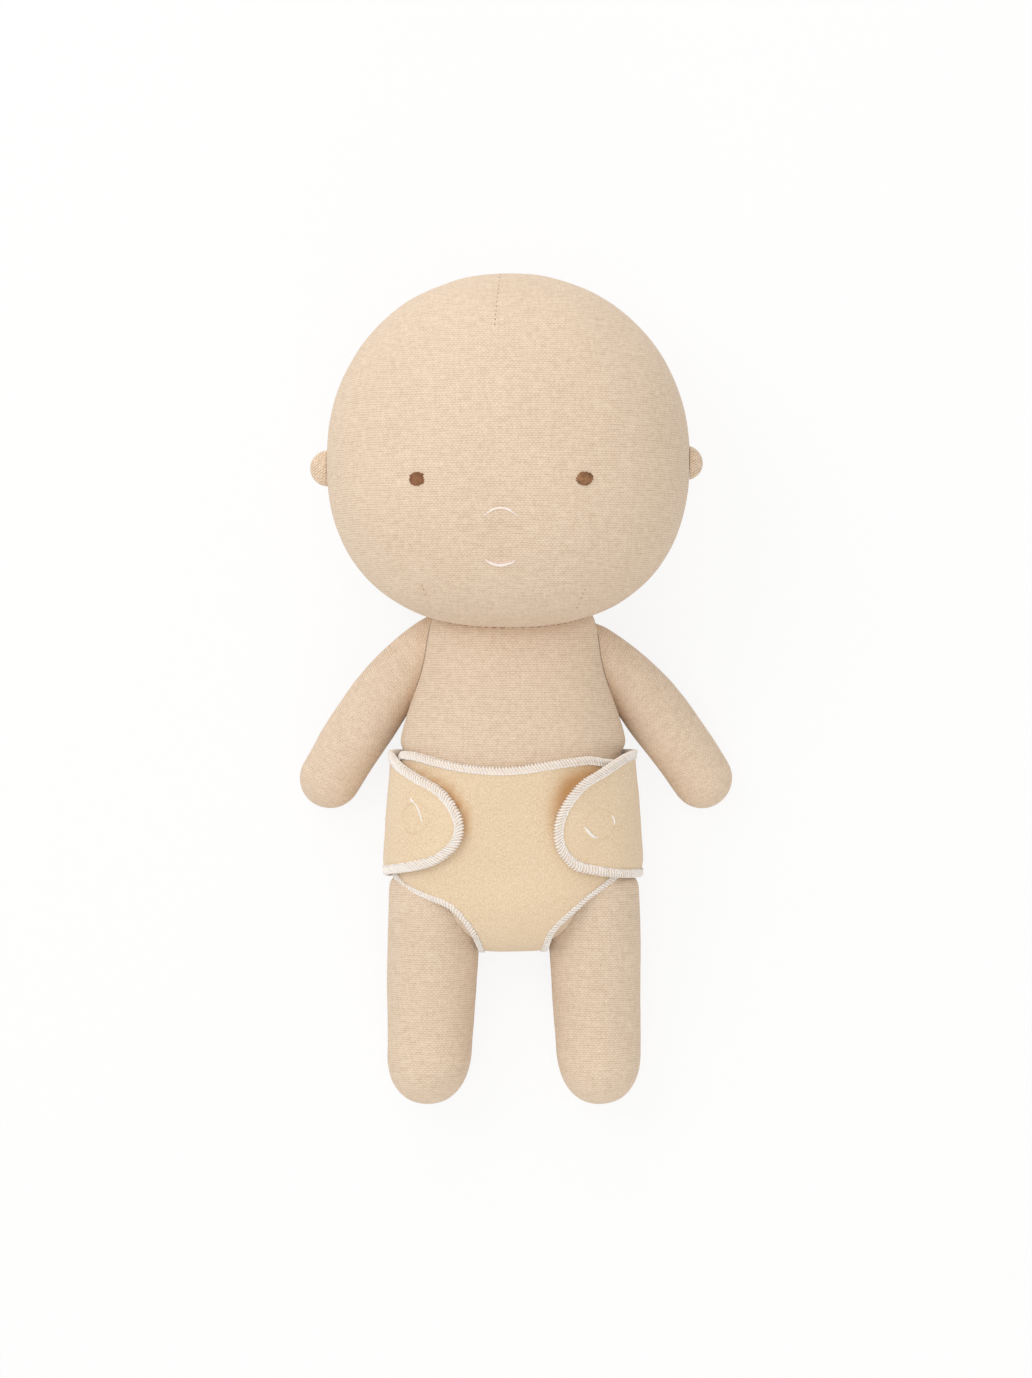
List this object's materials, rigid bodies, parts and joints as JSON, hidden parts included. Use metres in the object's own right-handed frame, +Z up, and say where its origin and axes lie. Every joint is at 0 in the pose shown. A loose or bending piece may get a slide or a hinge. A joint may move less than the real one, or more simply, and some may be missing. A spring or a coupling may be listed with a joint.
{
  "type": "soft baby doll",
  "caption": "Soft cloth baby doll with a round head, embroidered face, stuffed arms and legs, and a fleece wrap nappy closed by rounded hook-and-loop tabs.",
  "frame": {"origin": "on the floor under the middle of the doll's bounding box, as it lies on its back", "axes": "+Z up out of the face, +Y along the body towards the crown of the head, +X towards the doll's own left hand"},
  "size_m": [0.191, 0.3614, 0.1219],
  "materials": {
    "cotton": "Plain-weave unbleached cotton",
    "nappy_fleece": "Brushed cotton fleece",
    "overlock_thread": "Overlock sewing thread",
    "eye_thread": "Satin-stitched embroidery thread",
    "face_thread": "Embroidery thread",
    "hook_and_loop": "Soft hook-and-loop dot"
  },
  "bodies": {
    "root": {"head": "cotton", "ear_left": "cotton", "ear_right": "cotton", "torso": "cotton", "arm_left": "cotton", "arm_right": "cotton", "leg_left": "cotton", "leg_right": "cotton", "eye_left": "eye_thread", "eye_right": "eye_thread", "nose_stitch": "face_thread", "mouth_stitch": "face_thread", "nappy_cloth": "nappy_fleece", "nappy_overlock_edge": "overlock_thread", "hook_patch_left": "hook_and_loop", "hook_patch_right": "hook_and_loop", "loop_patch_left": "hook_and_loop", "loop_patch_right": "hook_and_loop", "patch_stitching_left": "face_thread", "patch_stitching_right": "face_thread"}
  },
  "joints": []
}
